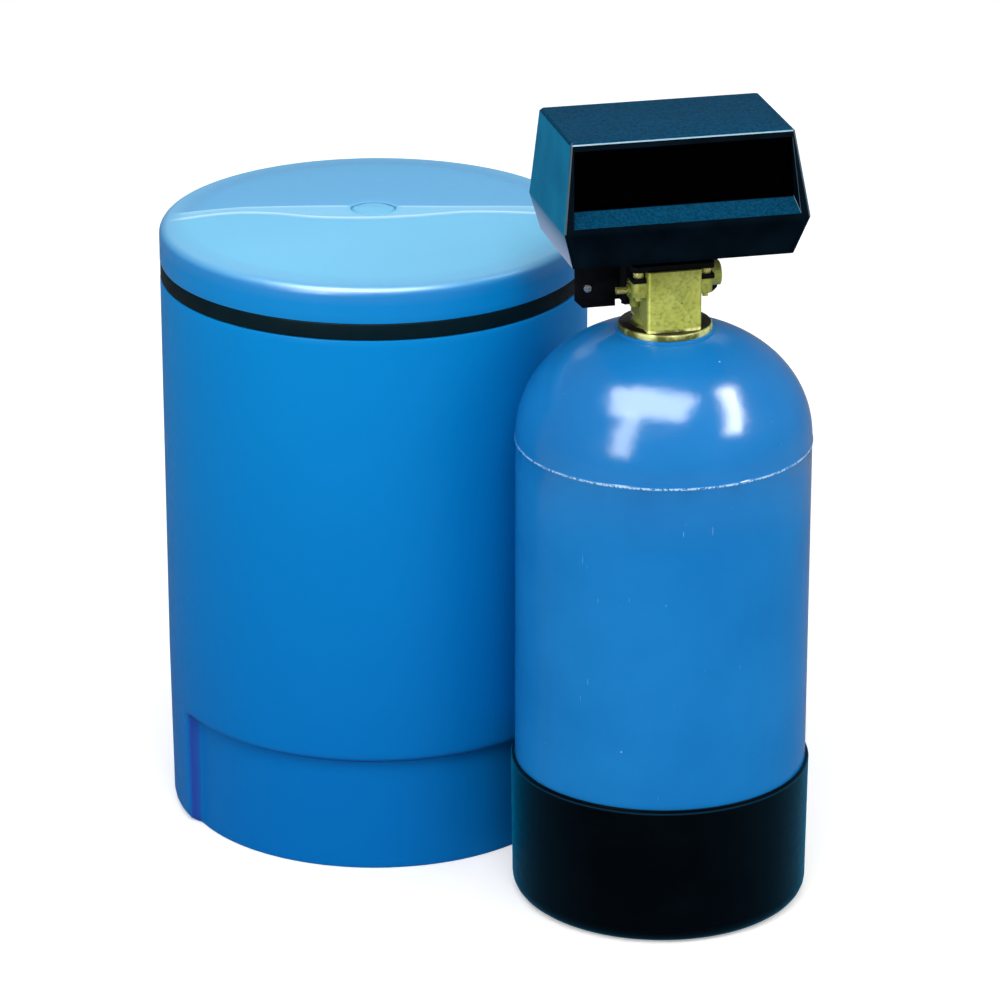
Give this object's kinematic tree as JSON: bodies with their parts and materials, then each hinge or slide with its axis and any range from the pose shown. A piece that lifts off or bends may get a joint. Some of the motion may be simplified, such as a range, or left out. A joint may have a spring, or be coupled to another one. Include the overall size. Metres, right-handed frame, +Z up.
{
  "type": "water softener",
  "caption": "Two-tank water softener: blue resin tank on a black boot with a brass valve and boxed timer head, beside a blue lidded brine tank.",
  "frame": {"origin": "middle of the whole object's footprint box, on the floor", "axes": "+Z up, -Y towards the front of the control head's window, +X to the window's right; the resin tank stands at +X -Y and the brine tank at -X +Y"},
  "size_m": [0.5228, 0.5838, 0.7107],
  "materials": {
    "boot_black": "satin moulded plastic",
    "tank_blue": "gel-coated glass fibre, satin to gloss",
    "white_plastic": "moulded natural plastic",
    "gravel": "loose quartz gravel",
    "resin_beads": "amber ion-exchange beads",
    "seal_rubber": "lubricated rubber",
    "brass_cast": "cast and tumbled brass",
    "brass_bright": "turned brass",
    "piston_coat": "fluoropolymer-coated brass",
    "steel": "turned stainless steel",
    "plate_black": "black coated",
    "injector_red": "moulded",
    "motor_case": "zinc-plated can",
    "gear_plastic": "moulded acetal",
    "timer_steel": "plated sheet steel",
    "knob_black": "moulded",
    "cover_black": "grained moulded plastic",
    "window_black": "smoked glossy sheet",
    "brine_blue": "roto-moulded polyethylene",
    "lid_blue": "moulded polyethylene",
    "band_black": "extruded trim",
    "well_grey": "extruded pipe",
    "cap_black": "moulded",
    "float_orange": "foam float"
  },
  "bodies": {
    "frame": {"tank_boot": "boot_black", "resin_tank": "tank_blue", "riser_tube": "white_plastic", "lower_distributor": "white_plastic", "upper_distributor": "white_plastic", "air_check": "white_plastic", "salt_grid": "white_plastic", "brine_bulkhead": "white_plastic", "spacer_rings": "white_plastic", "end_plug": "white_plastic", "pickup_tube": "white_plastic", "gravel_bed": "gravel", "resin_bed": "resin_beads", "tank_o_ring": "seal_rubber", "piston_seals": "seal_rubber", "flow_washer": "seal_rubber", "valve_body": "brass_cast", "injector_body": "brass_cast", "port_yoke": "brass_cast", "drain_fitting": "brass_cast", "brine_line_tube": "brass_bright", "cap_screws": "brass_bright", "injector_screws": "steel", "yoke_screws": "steel", "bracket_screw": "steel", "brine_valve_spring": "steel", "gear_stud": "steel", "stand_offs": "steel", "mounting_plate": "plate_black", "back_plate": "plate_black", "brine_valve_body": "plate_black", "cable_gland": "plate_black", "injector_nozzle": "injector_red", "drive_motor": "motor_case", "timer_motor": "motor_case", "timer_plate": "timer_steel", "micro_switches": "knob_black", "brine_tank": "brine_blue", "rim_band": "band_black", "brine_well": "well_grey", "safety_valve": "cap_black", "overflow_fitting": "cap_black"},
    "lid": {"tank_lid": "lid_blue"},
    "cover": {"head_cover": "cover_black", "cover_window": "window_black"},
    "well_lid": {"well_cap": "cap_black"},
    "float_set": {"float": "float_orange", "float_rod": "steel"},
    "piston_set": {"piston": "piston_coat", "piston_rod": "steel", "rod_link": "steel"},
    "brine_stem": {"brine_valve_stem": "steel"},
    "drive_gear_body": {"drive_gear": "gear_plastic"},
    "motor_pinion_body": {"motor_pinion": "gear_plastic"},
    "dial_body": {"day_dial": "gear_plastic"},
    "timer_pinion_body": {"timer_pinion": "gear_plastic"},
    "skipper_body": {"skipper_wheel": "gear_plastic"},
    "program_body": {"program_wheel": "gear_plastic", "regeneration_knob": "knob_black"}
  },
  "joints": [
    {"name": "lid_lift", "type": "slide", "parent": "frame", "child": "lid", "axis": [0, 0, 1], "range_m": [0, 0.25]},
    {"name": "cover_lift", "type": "slide", "parent": "frame", "child": "cover", "axis": [0, 0, 1], "range_m": [0, 0.13]},
    {"name": "well_cap_lift", "type": "slide", "parent": "frame", "child": "well_lid", "axis": [0, 0, 1], "range_m": [0, 0.02]},
    {"name": "float_travel", "type": "slide", "parent": "frame", "child": "float_set", "axis": [0, 0, 1], "range_m": [-0.03, 0.045]},
    {"name": "piston_stroke", "type": "slide", "parent": "frame", "child": "piston_set", "axis": [0, 0, 1], "range_m": [0, 0.014]},
    {"name": "brine_stem_press", "type": "slide", "parent": "frame", "child": "brine_stem", "axis": [0, 0, -1], "range_m": [0, 0.004], "stiffness_N_per_m": 400, "deforming": ["brine_valve_spring"]},
    {"name": "drive_gear_turn", "type": "hinge", "parent": "frame", "child": "drive_gear_body", "pos_m": [0.1297, -0.15125, 0.65], "axis": [0, 1, 0], "continuous": true},
    {"name": "motor_pinion_turn", "type": "hinge", "parent": "frame", "child": "motor_pinion_body", "pos_m": [0.1657, -0.15125, 0.65], "axis": [0, 1, 0], "continuous": true},
    {"name": "day_dial_turn", "type": "hinge", "parent": "frame", "child": "dial_body", "pos_m": [0.0857, -0.18825, 0.656], "axis": [0, 1, 0], "continuous": true},
    {"name": "timer_pinion_turn", "type": "hinge", "parent": "frame", "child": "timer_pinion_body", "pos_m": [0.1037, -0.18825, 0.62482], "axis": [0, 1, 0], "continuous": true},
    {"name": "skipper_turn", "type": "hinge", "parent": "frame", "child": "skipper_body", "pos_m": [0.1517, -0.18825, 0.66], "axis": [0, 1, 0], "continuous": true},
    {"name": "knob_turn", "type": "hinge", "parent": "frame", "child": "program_body", "pos_m": [0.1977, -0.18825, 0.652], "axis": [0, 1, 0], "continuous": true}
  ],
  "couplings": [
    {"joint": "motor_pinion_turn", "follows": "drive_gear_turn", "ratio": -5},
    {"joint": "timer_pinion_turn", "follows": "day_dial_turn", "ratio": -8},
    {"joint": "skipper_turn", "follows": "day_dial_turn", "ratio": -0.083333}
  ]
}
